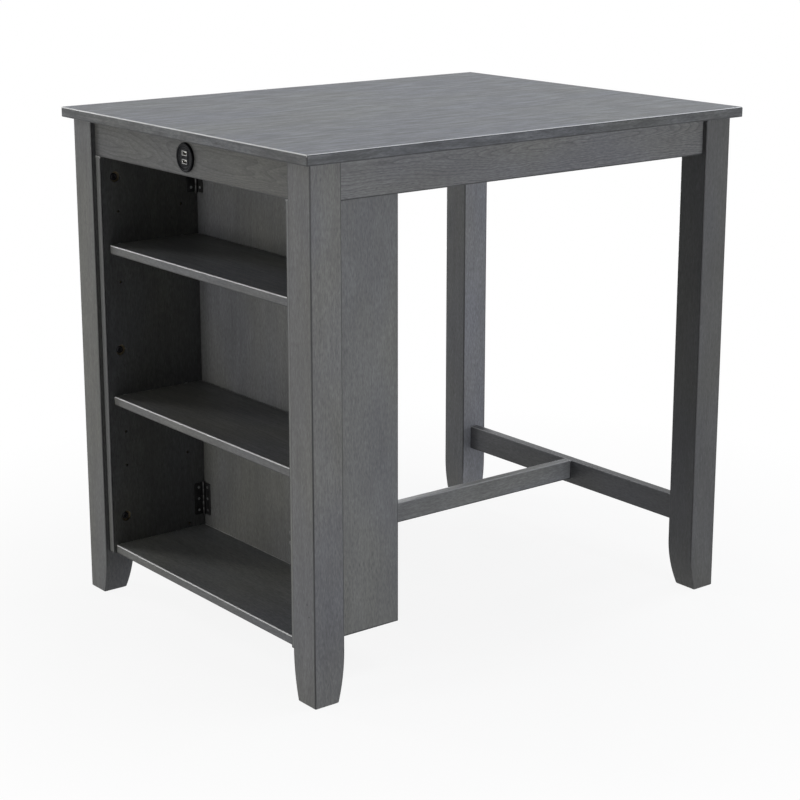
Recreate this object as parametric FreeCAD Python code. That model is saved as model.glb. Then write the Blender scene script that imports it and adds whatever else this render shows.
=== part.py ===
import FreeCAD, Part
import math
import os

# Counter-height kitchen table with an open storage cabinet under one end.
# Millimetres. Origin on the floor below the middle of the table, +Z up.
# +X runs along the table. The cabinet stands at the -X end and opens towards -X.
# "left" is +Y and "right" is -Y, as seen by someone facing into the cabinet.

V = FreeCAD.Vector
AXIS_X = V(1, 0, 0)
AXIS_Y = V(0, 1, 0)
AXIS_Z = V(0, 0, 1)

# ---- overall ----
table_length = 965.0
table_width = 762.0
table_height = 914.4

# ---- table top ----
top_thickness = 18.0
top_overhang = 16.0
top_corner_radius = 3.0
top_ease = 1.6

# ---- legs ----
leg_size = 60.0
leg_ease = 1.5
foot_taper = 12.5
foot_taper_height = 90.0
foot_taper_steps = 6
foot_chamfer = 1.5

# ---- aprons ----
apron_height = 64.0
apron_thickness = 16.0
apron_setback = 8.0
board_ease = 1.0

# ---- cabinet ----
panel_thickness = 16.0
panel_setback = 7.5
cabinet_inner_depth = 202.0
back_thickness = 9.0
cabinet_floor_gap = 84.0
shelf_thickness = 16.0
shelf_ease = 1.8
bottom_shelf_recess = 5.0
bottom_shelf_corner_radius = 3.0
shelf_recess = 10.5
shelf_rear_gap = 1.5
middle_shelf_corner_radius = 3.0
top_shelf_corner_radius = 9.0
top_compartment_height = 161.0
lower_compartment_height = 271.5

# ---- shelf supports and the rows of holes that take them ----
support_pin_radius = 2.5
support_pin_length = 8.0
support_width = 14.0
support_corner_radius = 6.3
support_plate = 1.2
support_ledge = 10.0
support_ledge_thickness = 2.0
support_pin_rise = 9.0
support_side_gap = 0.6
support_seat_gap = 0.25
hole_depth = 9.0
hole_pitch = 65.0
front_row_from_edge = 34.5
rear_row_from_back = 34.5
top_row_steps = (1, 0, -1)
middle_row_steps = (0, -1, -2)
spare_hole_rise = 8.0

# ---- bolts that hold the side panels to the legs ----
panel_bolt_radius = 4.0
panel_bolt_head_radius = 6.5
panel_bolt_head_height = 5.0
panel_bolt_head_round = 1.5
panel_bolt_socket = 5.0
panel_bolt_socket_depth = 3.0
panel_bolt_reach = 12.0
panel_bolt_from_edge = 30.0
panel_bolt_from_top = 39.5
panel_bolt_from_bottom = 67.5
counterbore_radius = 10.0
counterbore_depth = 8.5
insert_radius = 6.0
insert_length = 15.0

# ---- butt hinges between side panels and back ----
hinge_length = 63.0
hinge_leaf_width = 22.0
hinge_leaf_thickness = 1.4
hinge_barrel_radius = 3.0
hinge_pin_radius = 1.5
hinge_pin_cap_radius = 2.6
hinge_pin_cap_height = 2.0
hinge_pin_cap_round = 1.0
hinge_knuckles = 5
hinge_knuckle_gap = 0.2
hinge_corner_radius = 2.0
hinge_screw_pitch = 22.8
hinge_screw_from_corner = 13.0
hinge_from_top = 51.5
hinge_from_bottom = 69.5

# ---- stretchers ----
stretcher_top = 169.5
long_stretcher_height = 38.5
long_stretcher_width = 17.0
cross_stretcher_height = 48.5
cross_stretcher_width = 18.0

# ---- steel corner brackets and their hanger bolts ----
bracket_thickness = 2.0
bracket_height = 48.0
bracket_flange = 26.0
bracket_leg_gap = 6.0
bracket_screw_rise = 14.0
hanger_radius = 4.0
hanger_depth = 38.0
hanger_tail = 24.0
washer_radius = 9.0
washer_thickness = 1.6
nut_across_flats = 13.0
nut_height = 6.5

# ---- steel angles that hold the top ----
angle_size = 24.0
angle_width = 20.0
angle_thickness = 2.0
angle_inset = 200.0

# ---- screws, dowels and cam fittings ----
screw_radius = 2.0
screw_head_radius = 3.6
screw_head_height = 2.2
screw_length = 13.0
flat_screw_radius = 1.4
flat_screw_head_radius = 2.7
flat_screw_length = 8.0
long_screw_grip = 32.0
long_screw_head_radius = 4.4
recess_share = 1.1
recess_arm_share = 0.2
recess_depth_share = 0.6
dowel_radius = 4.0
dowel_length = 30.0
apron_dowel_edge = 16.0
shelf_dowel_depth = 10.0
cam_radius = 7.5
cam_from_end = 24.0
cam_past_axis = 4.0
cam_slot_room = 0.3
cam_slot_back = 3.0
cam_recess_depth = 2.0
cam_bolt_radius = 2.9
cam_bolt_head_radius = 3.5
cam_bolt_head_length = 3.0
cam_bolt_collar_length = 12.0
cam_bolt_depth = 10.0
snug = 0.05
end_room = 0.5

# ---- round power outlet in the cabinet-end apron ----
outlet_radius = 25.2
outlet_proud = 4.5
outlet_round = 2.0
outlet_dish_radius = 20.5
outlet_dish_depth = 1.2
outlet_barrel_radius = 22.2
outlet_barrel_wall = 2.2
outlet_barrel_length = 36.0
outlet_face_thickness = 2.4
outlet_nut_radius = 26.4
outlet_nut_thickness = 6.0
outlet_nut_grooves = 24
outlet_nut_groove_radius = 1.0
outlet_cap_thickness = 3.0
outlet_sleeve_radius = 6.3
outlet_sleeve_length = 6.0
outlet_inlet_radius = 3.5
outlet_board_thickness = 1.6
outlet_board_width = 20.0
outlet_board_height = 28.0
port_pitch = 14.2
port_width = 14.0
port_height = 6.6
port_wall = 0.5
port_depth = 13.0
tongue_width = 10.6
tongue_thickness = 1.9
tongue_depth = 9.0

# ---- places worked out from the sizes above ----
top_underside = table_height - top_thickness
apron_bottom = top_underside - apron_height
apron_middle = apron_bottom + apron_height / 2
leg_outer_x = table_length / 2 - top_overhang
leg_outer_y = table_width / 2 - top_overhang
leg_inner_x = leg_outer_x - leg_size
leg_inner_y = leg_outer_y - leg_size
long_apron_outer_y = leg_outer_y - apron_setback
long_apron_inner_y = long_apron_outer_y - apron_thickness
end_apron_outer_x = leg_outer_x - apron_setback
end_apron_inner_x = end_apron_outer_x - apron_thickness

panel_inner_y = leg_inner_y - panel_thickness
panel_front_x = -leg_outer_x + panel_setback
back_front_x = panel_front_x + cabinet_inner_depth
panel_rear_x = back_front_x + back_thickness
panel_bottom = cabinet_floor_gap
panel_top = apron_bottom
bottom_shelf_top = panel_bottom + shelf_thickness
middle_shelf_bottom = bottom_shelf_top + lower_compartment_height
top_shelf_bottom = panel_top - top_compartment_height - shelf_thickness
front_row_x = panel_front_x + front_row_from_edge
rear_row_x = back_front_x - rear_row_from_back
hole_radius = support_pin_radius + snug

cross_middle_x = (leg_inner_x + leg_outer_x) / 2
cross_inner_x = cross_middle_x - cross_stretcher_width / 2
cross_outer_x = cross_middle_x + cross_stretcher_width / 2
cross_middle_z = stretcher_top - cross_stretcher_height / 2
long_middle_z = stretcher_top - long_stretcher_height / 2

ends = {"cabinet": -1, "far": 1}
sides = {"left": 1, "right": -1}

parts = {}
cutters = {}


# ---- helpers ----
def block(x, y, z):
    low = V(min(x), min(y), min(z))
    return Part.makeBox(abs(x[1] - x[0]), abs(y[1] - y[0]), abs(z[1] - z[0]), low)


def rod(radius, start, direction, length):
    return Part.makeCylinder(radius, length, start, direction)


def prism(points, z_low, height):
    outline = Part.makePolygon(points + [points[0]])
    outline.translate(V(0, 0, z_low))
    return Part.Face(outline).extrude(V(0, 0, height))


def edges_along(shape, axis):
    found = []
    for edge in shape.Edges:
        if abs(edge.tangentAt(edge.FirstParameter).dot(axis)) > 0.999:
            found.append(edge)
    return found


def eased(shape, radius, axes):
    edges = []
    for axis in axes:
        edges += edges_along(shape, axis)
    return shape.makeFillet(radius, edges)


def fuse_all(shapes):
    joined = shapes[0]
    for shape in shapes[1:]:
        joined = joined.fuse(shape)
    return joined.removeSplitter()


def in_corner(shape, end, side):
    """Mirror a shape drawn in the +X +Y corner of the table into another corner."""
    if end < 0:
        shape = shape.mirror(V(0, 0, 0), AXIS_X)
    if side < 0:
        shape = shape.mirror(V(0, 0, 0), AXIS_Y)
    return shape


def add(name, shape):
    parts.setdefault(name, []).append(shape)


def cut_from(name, shape):
    cutters.setdefault(name, []).append(shape)


def cross_recess(at, direction, size, depth):
    """Cross-shaped driver recess, sunk from a head's face along direction."""
    width = size * recess_arm_share
    if abs(direction.z) > 0.5:
        across = AXIS_X
    else:
        across = AXIS_Z
    other = direction.cross(across)
    arms = []
    for long_way, short_way in ((across, other), (other, across)):
        corner = at - long_way * (size / 2) - short_way * (width / 2)
        outline = [
            corner,
            corner + long_way * size,
            corner + long_way * size + short_way * width,
            corner + short_way * width,
            corner,
        ]
        arms.append(Part.Face(Part.makePolygon(outline)).extrude(direction * depth))
    return arms[0].fuse(arms[1])


def pan_screw(seat, direction, length, radius=screw_radius, head_radius=screw_head_radius):
    """Screw whose head stands on the seat; direction is the way it is driven."""
    head_base = seat - direction * screw_head_height
    head = rod(head_radius, head_base, direction, screw_head_height)
    head = head.fuse(rod(radius, seat, direction, length))
    depth = screw_head_height * recess_depth_share
    recess = cross_recess(head_base, direction, head_radius * recess_share, depth)
    return head.cut(recess).removeSplitter()


def flat_screw(face, direction, length, radius, head_radius):
    """Countersunk screw, flush with the face; direction is the way it is driven."""
    sink = head_radius - radius
    head = Part.makeCone(head_radius, radius, sink, face, direction)
    shank = rod(radius, face + direction * sink, direction, length - sink)
    recess = cross_recess(face, direction, head_radius * recess_share, sink * recess_depth_share)
    return head.fuse(shank).cut(recess).removeSplitter()


def flat_screw_hole(face, direction, length, radius, head_radius):
    sink = head_radius - radius
    seat = Part.makeCone(head_radius + snug, radius + snug, sink, face, direction)
    return seat.fuse(rod(radius + snug, face, direction, length + end_room))


def dowel(name, at, direction, near, near_depth, far, far_depth):
    """Round dowel from the point at on the joint, near_depth back and far_depth on."""
    start = at - direction * near_depth
    length = near_depth + far_depth
    add(name, rod(dowel_radius, start, direction, length))
    hole = rod(dowel_radius + snug, start - direction * end_room, direction, length + 2 * end_room)
    cut_from(near, hole)
    cut_from(far, hole)


def cam_fitting(cams, bolts, board, receiver, at, direction, outward, half):
    """Cam and bolt that pull a board's end, at the point at, onto a receiver.

    direction points into the receiver, outward out of the face with the cam,
    and half is how far the bolt's axis lies below that face."""
    centre = at - direction * cam_from_end
    rim = centre + outward * half
    depth = half + cam_past_axis
    cut_from(board, rod(cam_radius + snug, rim + outward * end_room, outward * -1, depth + end_room))
    cut_from(board, rod(cam_bolt_head_radius + snug, centre, direction, cam_from_end + end_room))
    cut_from(receiver, rod(cam_bolt_radius + snug, at, direction, cam_bolt_depth + end_room))
    cam = rod(cam_radius, rim - outward * snug, outward * -1, depth - 2 * snug)
    slot_start = centre - direction * cam_slot_back
    slot = rod(cam_bolt_head_radius + cam_slot_room, slot_start, direction, cam_slot_back + 2 * cam_radius)
    recess = cross_recess(rim, outward * -1, cam_radius, cam_recess_depth)
    add(cams, cam.cut(slot).cut(recess))
    neck = rod(cam_bolt_radius, centre, direction, cam_from_end + cam_bolt_depth)
    head_start = centre - direction * (cam_bolt_head_length / 2)
    head = rod(cam_bolt_head_radius, head_start, direction, cam_bolt_head_length)
    collar_start = at - direction * cam_bolt_collar_length
    collar = rod(cam_bolt_head_radius, collar_start, direction, cam_bolt_collar_length)
    add(bolts, fuse_all([neck, head, collar]))


# ---- table top ----
def make_top():
    top = block(
        (-table_length / 2, table_length / 2),
        (-table_width / 2, table_width / 2),
        (top_underside, table_height),
    )
    top = eased(top, top_corner_radius, [AXIS_Z])
    rims = [edge for edge in top.Edges if abs(edge.BoundBox.ZLength) < 0.001]
    add("table_top", top.makeFillet(top_ease, rims))


# ---- legs: square, with the two inner faces curving in at the foot ----
def leg_section(z, inset=0.0):
    """Outline of the +X +Y leg at height z, with rounded arrises, drawn in by inset."""
    curve_radius = (foot_taper_height**2 + foot_taper**2) / (2 * foot_taper)
    taper = curve_radius - math.sqrt(curve_radius**2 - (foot_taper_height - z) ** 2)
    low_x = leg_inner_x + taper + inset + leg_ease
    low_y = leg_inner_y + taper + inset + leg_ease
    high_x = leg_outer_x - inset - leg_ease
    high_y = leg_outer_y - inset - leg_ease
    centres = [(high_x, low_y), (high_x, high_y), (low_x, high_y), (low_x, low_y)]
    arcs = []
    for quarter, (x, y) in enumerate(centres):
        points = []
        for share in (-90, -45, 0):
            angle = math.radians(90 * quarter + share)
            points.append(V(x + leg_ease * math.cos(angle), y + leg_ease * math.sin(angle), z))
        arcs.append(points)
    edges = []
    for quarter, points in enumerate(arcs):
        edges.append(Part.Arc(*points).toShape())
        edges.append(Part.makeLine(points[2], arcs[(quarter + 1) % 4][0]))
    return Part.Wire(edges)


def make_leg(name, end, side):
    rise = (foot_taper_height - foot_chamfer) / foot_taper_steps
    heights = [foot_chamfer + rise * step for step in range(foot_taper_steps + 1)]
    tip = Part.makeLoft([leg_section(0, foot_chamfer), leg_section(foot_chamfer)], True, True)
    foot = Part.makeLoft([leg_section(z) for z in heights], True, False)
    shaft = Part.Face(leg_section(foot_taper_height))
    shaft = shaft.extrude(V(0, 0, top_underside - foot_taper_height))
    add(name, in_corner(foot.fuse([tip, shaft]), end, side))


# ---- aprons ----
def make_aprons():
    height = (apron_bottom, top_underside)
    for side_name, side in sides.items():
        depth = (side * long_apron_inner_y, side * long_apron_outer_y)
        board = block((-leg_inner_x, leg_inner_x), depth, height)
        add("long_apron_" + side_name, eased(board, board_ease, [AXIS_X]))
    for end_name, end in ends.items():
        depth = (end * end_apron_inner_x, end * end_apron_outer_x)
        board = block(depth, (-leg_inner_y, leg_inner_y), height)
        add(end_name + "_end_apron", eased(board, board_ease, [AXIS_Y]))


def make_apron_dowels(end_name, side_name):
    end = ends[end_name]
    side = sides[side_name]
    leg = "leg_" + end_name + "_" + side_name
    half = dowel_length / 2
    long_y = side * (long_apron_inner_y + apron_thickness / 2)
    end_x = end * (end_apron_inner_x + apron_thickness / 2)
    for z in (apron_bottom + apron_dowel_edge, top_underside - apron_dowel_edge):
        long_joint = V(end * leg_inner_x, long_y, z)
        end_joint = V(end_x, side * leg_inner_y, z)
        long_apron = "long_apron_" + side_name
        end_apron = end_name + "_end_apron"
        dowel("apron_dowels", long_joint, AXIS_X * end, long_apron, half, leg, half)
        dowel("apron_dowels", end_joint, AXIS_Y * side, end_apron, half, leg, half)


# ---- corner brackets, drawn in the +X +Y corner and mirrored ----
def make_bracket(end_name, side_name):
    end = ends[end_name]
    side = sides[side_name]
    leg = "leg_" + end_name + "_" + side_name
    corner_sum = leg_inner_x + leg_inner_y
    outer_sum = corner_sum - bracket_leg_gap * math.sqrt(2)
    inner_sum = outer_sum - bracket_thickness * math.sqrt(2)
    face_x = end_apron_inner_x
    face_y = long_apron_inner_y
    flange_x = outer_sum - face_y - bracket_flange
    flange_y = outer_sum - face_x - bracket_flange
    outline = [
        V(flange_x, face_y, 0),
        V(outer_sum - face_y, face_y, 0),
        V(face_x, outer_sum - face_x, 0),
        V(face_x, flange_y, 0),
        V(face_x - bracket_thickness, flange_y, 0),
        V(face_x - bracket_thickness, inner_sum - face_x + bracket_thickness, 0),
        V(inner_sum - face_y + bracket_thickness, face_y - bracket_thickness, 0),
        V(flange_x, face_y - bracket_thickness, 0),
    ]
    bracket = prism(outline, apron_middle - bracket_height / 2, bracket_height)

    outward = V(1, 1, 0).normalize()
    leg_corner = V(leg_inner_x, leg_inner_y, apron_middle)
    plate_face = leg_corner - outward * (bracket_leg_gap + bracket_thickness)
    tail = leg_corner - outward * hanger_tail
    hanger = rod(hanger_radius, tail, outward, hanger_tail + hanger_depth)
    bracket = bracket.cut(rod(hanger_radius + snug, tail, outward, hanger_tail))
    hanger_hole = rod(hanger_radius + snug, tail, outward, hanger_tail + hanger_depth + end_room)
    washer = rod(washer_radius, plate_face, outward * -1, washer_thickness)
    washer = washer.cut(rod(hanger_radius + snug, plate_face, outward * -1, washer_thickness))
    nut_face = plate_face - outward * washer_thickness
    nut = hexagon(nut_face, outward * -1, nut_across_flats, nut_height)
    nut = nut.cut(rod(hanger_radius + snug, nut_face, outward * -1, nut_height))

    screws = []
    for rise in (-bracket_screw_rise, bracket_screw_rise):
        z = apron_middle + rise
        on_long = V(flange_x + bracket_flange / 2, face_y - bracket_thickness, z)
        on_end = V(face_x - bracket_thickness, flange_y + bracket_flange / 2, z)
        screws.append((on_long, AXIS_Y, "long_apron_" + side_name))
        screws.append((on_end, AXIS_X, end_name + "_end_apron"))
    for seat, direction, apron in screws:
        hole = rod(screw_radius + snug, seat, direction, screw_length + end_room)
        bracket = bracket.cut(hole)
        cut_from(apron, in_corner(hole, end, side))
        add("bracket_screws", in_corner(pan_screw(seat, direction, screw_length), end, side))

    add("corner_bracket_" + end_name + "_" + side_name, in_corner(bracket, end, side))
    add("hanger_bolts", in_corner(hanger, end, side))
    add("hanger_washers", in_corner(washer, end, side))
    add("hanger_nuts", in_corner(nut, end, side))
    cut_from(leg, in_corner(hanger_hole, end, side))


def hexagon(centre, direction, across_flats, height):
    """Hexagonal prism that grows from the centre of its base along direction."""
    radius = across_flats / math.sqrt(3)
    flat = AXIS_Z
    other = direction.cross(flat)
    points = []
    for corner in range(7):
        angle = math.radians(60 * corner)
        points.append(centre + flat * (radius * math.cos(angle)) + other * (radius * math.sin(angle)))
    return Part.Face(Part.makePolygon(points)).extrude(direction * height)


# ---- steel angles under the top ----
def make_top_angles():
    places = []
    for side_name, side in sides.items():
        for way in (-1, 1):
            spot = V(way * (leg_inner_x - angle_inset), side * long_apron_inner_y, top_underside)
            places.append((spot, AXIS_Y * side, AXIS_X, "long_apron_" + side_name))
    for end_name, end in ends.items():
        for way in (-1, 1):
            spot = V(end * end_apron_inner_x, way * (leg_inner_y - angle_inset), top_underside)
            places.append((spot, AXIS_X * end, AXIS_Y, end_name + "_end_apron"))
    for spot, outward, along, apron in places:
        make_top_angle(spot, outward, along, apron)


def make_top_angle(spot, outward, along, apron):
    """One angle in the corner between apron and top; outward points into the apron."""
    start = spot - along * (angle_width / 2)
    down = AXIS_Z * -1
    outline = [
        start,
        start + down * angle_size,
        start + down * angle_size - outward * angle_thickness,
        start + down * angle_thickness - outward * angle_thickness,
        start + down * angle_thickness - outward * angle_size,
        start - outward * angle_size,
        start,
    ]
    angle = Part.Face(Part.makePolygon(outline)).extrude(along * angle_width)
    reach = (angle_size + angle_thickness) / 2
    low_seat = spot + down * reach - outward * angle_thickness
    high_seat = spot + down * angle_thickness - outward * reach
    for seat, direction, holder in ((low_seat, outward, apron), (high_seat, AXIS_Z, "table_top")):
        hole = rod(screw_radius + snug, seat, direction, screw_length + end_room)
        angle = angle.cut(hole)
        cut_from(holder, hole)
        add("top_angle_screws", pan_screw(seat, direction, screw_length))
    add("top_angles", angle)


# ---- cabinet panels ----
def make_side_panel(side_name):
    side = sides[side_name]
    panel = block(
        (panel_front_x, panel_rear_x),
        (side * panel_inner_y, side * leg_inner_y),
        (panel_bottom, panel_top),
    )
    name = "side_panel_" + side_name
    add(name, eased(panel, board_ease, [AXIS_Z]))
    inward = AXIS_Y * -side
    face = side * panel_inner_y
    top_pin = top_shelf_bottom + support_pin_rise
    middle_pin = middle_shelf_bottom + support_pin_rise
    heights = [top_pin + step * hole_pitch for step in top_row_steps]
    heights += [middle_pin + step * hole_pitch for step in middle_row_steps]
    holes = [(front_row_x, z) for z in heights] + [(rear_row_x, z) for z in heights]
    holes.append((rear_row_x, bottom_shelf_top + spare_hole_rise))
    for x, z in holes:
        cut_from(name, rod(hole_radius, V(x, face, z), inward * -1, hole_depth))


def make_back_panel():
    panel = block(
        (back_front_x, panel_rear_x),
        (-panel_inner_y, panel_inner_y),
        (panel_bottom, panel_top),
    )
    add("back_panel", panel)


def make_bottom_shelf():
    shelf = block(
        (panel_front_x + bottom_shelf_recess, back_front_x),
        (-panel_inner_y, panel_inner_y),
        (panel_bottom, bottom_shelf_top),
    )
    front_x = panel_front_x + bottom_shelf_recess
    corners = [edge for edge in edges_along(shelf, AXIS_Z) if edge.BoundBox.XMax < front_x + 0.1]
    shelf = shelf.makeFillet(bottom_shelf_corner_radius, corners)
    front = [edge for edge in edges_along(shelf, AXIS_Y) if edge.BoundBox.XMax < front_x + 0.1]
    add("bottom_shelf", shelf.makeFillet(shelf_ease, front))
    for side_name, side in sides.items():
        panel = "side_panel_" + side_name
        for x in (front_row_x, rear_row_x):
            joint = V(x, side * panel_inner_y, panel_bottom + shelf_thickness / 2)
            cam_fitting(
                "shelf_cams",
                "shelf_cam_bolts",
                "bottom_shelf",
                panel,
                joint,
                AXIS_Y * side,
                AXIS_Z * -1,
                shelf_thickness / 2,
            )
        middle = (front_row_x + rear_row_x) / 2
        joint = V(middle, side * panel_inner_y, panel_bottom + shelf_thickness / 2)
        near = dowel_length - shelf_dowel_depth
        dowel("shelf_dowels", joint, AXIS_Y * side, "bottom_shelf", near, panel, shelf_dowel_depth)


# ---- adjustable shelves, each on four angled supports ----
def make_shelf(name, bottom, corner_radius):
    half_length = panel_inner_y - support_plate - support_side_gap
    front = panel_front_x + shelf_recess
    shelf = block(
        (front, back_front_x - shelf_rear_gap),
        (-half_length, half_length),
        (bottom, bottom + shelf_thickness),
    )
    corners = [edge for edge in edges_along(shelf, AXIS_Z) if edge.BoundBox.XMax < front + 0.1]
    shelf = shelf.makeFillet(corner_radius, corners)
    rims = [edge for edge in shelf.Edges if edge.BoundBox.ZLength < 0.001]
    add(name, shelf.makeFillet(shelf_ease, rims))


def make_supports(name, shelf_bottom):
    seat = shelf_bottom - support_seat_gap
    pin_z = shelf_bottom + support_pin_rise
    half = support_width / 2
    for side in sides.values():
        face = side * panel_inner_y
        for x in (front_row_x, rear_row_x):
            plate = block(
                (x - half, x + half),
                (face - side * support_plate, face),
                (seat - support_ledge_thickness, pin_z + half),
            )
            plate = plate.makeFillet(
                support_corner_radius,
                [edge for edge in edges_along(plate, AXIS_Y) if edge.BoundBox.ZMin > pin_z],
            )
            ledge = block(
                (x - half, x + half),
                (face - side * (support_plate + support_ledge), face),
                (seat - support_ledge_thickness, seat),
            )
            pin = rod(support_pin_radius, V(x, face, pin_z), AXIS_Y * side, support_pin_length)
            add(name, fuse_all([plate, ledge, pin]))


# ---- bolts through the side panels into the legs ----
def make_panel_bolts(side_name):
    side = sides[side_name]
    panel = "side_panel_" + side_name
    leg = "leg_cabinet_" + side_name
    outward = AXIS_Y * side
    low = panel_bottom + panel_bolt_from_bottom
    high = panel_top - panel_bolt_from_top
    x = panel_front_x + panel_bolt_from_edge
    for z in (low, (low + high) / 2, high):
        mouth = V(x, side * panel_inner_y, z)
        seat = mouth + outward * counterbore_depth
        joint = mouth + outward * panel_thickness
        cut_from(panel, rod(counterbore_radius, mouth, outward, counterbore_depth))
        cut_from(panel, rod(panel_bolt_radius + snug, mouth, outward, panel_thickness))
        head_face = seat - outward * panel_bolt_head_height
        grip = panel_thickness - counterbore_depth
        head = rod(panel_bolt_head_radius, head_face, outward, panel_bolt_head_height)
        rims = [edge for edge in head.Edges if abs(edge.CenterOfMass.y - head_face.y) < 0.01]
        head = head.makeFillet(panel_bolt_head_round, rims)
        socket = hexagon(head_face, outward, panel_bolt_socket, panel_bolt_socket_depth)
        bolt = head.fuse(rod(panel_bolt_radius, seat, outward, grip + panel_bolt_reach))
        add("panel_bolts", bolt.cut(socket).removeSplitter())
        insert = rod(insert_radius, joint, outward, insert_length)
        insert = insert.cut(rod(panel_bolt_radius + snug, joint, outward, insert_length))
        add("leg_inserts", insert)
        cut_from(leg, rod(insert_radius + snug, joint, outward, insert_length + end_room))


# ---- butt hinges in the cabinet's rear corners ----
def make_hinge(prefix, side_name, z_middle):
    side = sides[side_name]
    axis_x = back_front_x - hinge_barrel_radius - snug
    axis_y = side * (panel_inner_y - hinge_barrel_radius - snug)
    z_low = z_middle - hinge_length / 2
    step = hinge_length / hinge_knuckles
    hold = hinge_barrel_radius + hinge_knuckle_gap
    bore = rod(hinge_pin_radius + snug, V(axis_x, axis_y, z_low), AXIS_Z, hinge_length)

    far_x = back_front_x - hinge_leaf_width
    face_y = side * panel_inner_y
    side_plate = block(
        (far_x, axis_x - hold),
        (face_y - side * hinge_leaf_thickness, face_y),
        (z_low, z_low + hinge_length),
    )
    side_corners = [edge for edge in edges_along(side_plate, AXIS_Y) if edge.BoundBox.XMax < far_x + 0.1]
    side_leaf = [side_plate.makeFillet(hinge_corner_radius, side_corners)]

    far_y = face_y - side * hinge_leaf_width
    back_plate = block(
        (back_front_x - hinge_leaf_thickness, back_front_x),
        (far_y, axis_y - side * hold),
        (z_low, z_low + hinge_length),
    )
    back_corners = [
        edge for edge in edges_along(back_plate, AXIS_X) if abs(edge.CenterOfMass.y - far_y) < 0.1
    ]
    back_leaf = [back_plate.makeFillet(hinge_corner_radius, back_corners)]

    for knuckle in range(hinge_knuckles):
        low = z_low + knuckle * step + hinge_knuckle_gap / 2
        height = step - hinge_knuckle_gap
        barrel = rod(hinge_barrel_radius, V(axis_x, axis_y, low), AXIS_Z, height)
        if knuckle % 2:
            web = block(
                (axis_x - hold, axis_x),
                (face_y - side * hinge_leaf_thickness, face_y),
                (low, low + height),
            )
            side_leaf += [barrel, web]
        else:
            web = block(
                (back_front_x - hinge_leaf_thickness, back_front_x),
                (axis_y - side * hold, axis_y),
                (low, low + height),
            )
            back_leaf += [barrel, web]
    side_leaf = fuse_all(side_leaf).cut(bore)
    back_leaf = fuse_all(back_leaf).cut(bore)

    for rise in (-hinge_screw_pitch, 0, hinge_screw_pitch):
        z = z_middle + rise
        on_side = V(back_front_x - hinge_screw_from_corner, face_y - side * hinge_leaf_thickness, z)
        on_back = V(back_front_x - hinge_leaf_thickness, face_y - side * hinge_screw_from_corner, z)
        sizes = (flat_screw_length, flat_screw_radius, flat_screw_head_radius)
        for face, direction, holder in (
            (on_side, AXIS_Y * side, "side_panel_" + side_name),
            (on_back, AXIS_X, "back_panel"),
        ):
            hole = flat_screw_hole(face, direction, *sizes)
            add("hinge_screws", flat_screw(face, direction, *sizes))
            cut_from(holder, hole)
            if holder == "back_panel":
                back_leaf = back_leaf.cut(hole)
            else:
                side_leaf = side_leaf.cut(hole)

    pin = rod(hinge_pin_radius, V(axis_x, axis_y, z_low), AXIS_Z, hinge_length)
    for end_z, way in ((z_low, -1), (z_low + hinge_length, 1)):
        centre = V(axis_x, axis_y, end_z)
        cap = rod(hinge_pin_cap_radius, centre, AXIS_Z * way, hinge_pin_cap_height)
        tip_z = end_z + way * hinge_pin_cap_height
        rims = [edge for edge in cap.Edges if abs(edge.CenterOfMass.z - tip_z) < 0.01]
        pin = pin.fuse(cap.makeFillet(hinge_pin_cap_round, rims))
    name = prefix + "_hinge_" + side_name
    add(name + "_side_leaf", side_leaf)
    add(name + "_back_leaf", back_leaf)
    add(name + "_pin", pin.removeSplitter())


# ---- stretchers ----
def make_stretchers():
    long_one = block(
        (panel_rear_x, cross_inner_x),
        (-long_stretcher_width / 2, long_stretcher_width / 2),
        (stretcher_top - long_stretcher_height, stretcher_top),
    )
    cross_one = block(
        (cross_inner_x, cross_outer_x),
        (-leg_inner_y, leg_inner_y),
        (stretcher_top - cross_stretcher_height, stretcher_top),
    )
    add("long_stretcher", eased(long_one, board_ease, [AXIS_X]))
    add("cross_stretcher", eased(cross_one, board_ease, [AXIS_Y]))

    for z in (long_middle_z - long_stretcher_height / 4, long_middle_z + long_stretcher_height / 4):
        cabinet_end = V(back_front_x, 0, z)
        far_end = V(cross_outer_x, 0, z)
        length = back_thickness + long_screw_grip
        sizes = (length, screw_radius, long_screw_head_radius)
        add("stretcher_screws", flat_screw(cabinet_end, AXIS_X, *sizes))
        hole = flat_screw_hole(cabinet_end, AXIS_X, *sizes)
        cut_from("back_panel", hole)
        cut_from("long_stretcher", hole)
        length = cross_stretcher_width + long_screw_grip
        sizes = (length, screw_radius, long_screw_head_radius)
        add("stretcher_screws", flat_screw(far_end, AXIS_X * -1, *sizes))
        hole = flat_screw_hole(far_end, AXIS_X * -1, *sizes)
        cut_from("cross_stretcher", hole)
        cut_from("long_stretcher", hole)

    for side_name, side in sides.items():
        leg = "leg_far_" + side_name
        quarter = AXIS_Z * (cross_stretcher_height / 4)
        middle = V(cross_middle_x, side * leg_inner_y, cross_middle_z)
        cam_fitting(
            "stretcher_cams",
            "stretcher_cam_bolts",
            "cross_stretcher",
            leg,
            middle + quarter,
            AXIS_Y * side,
            AXIS_X,
            cross_stretcher_width / 2,
        )
        half = dowel_length / 2
        dowel("stretcher_dowels", middle - quarter, AXIS_Y * side, "cross_stretcher", half, leg, half)


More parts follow.
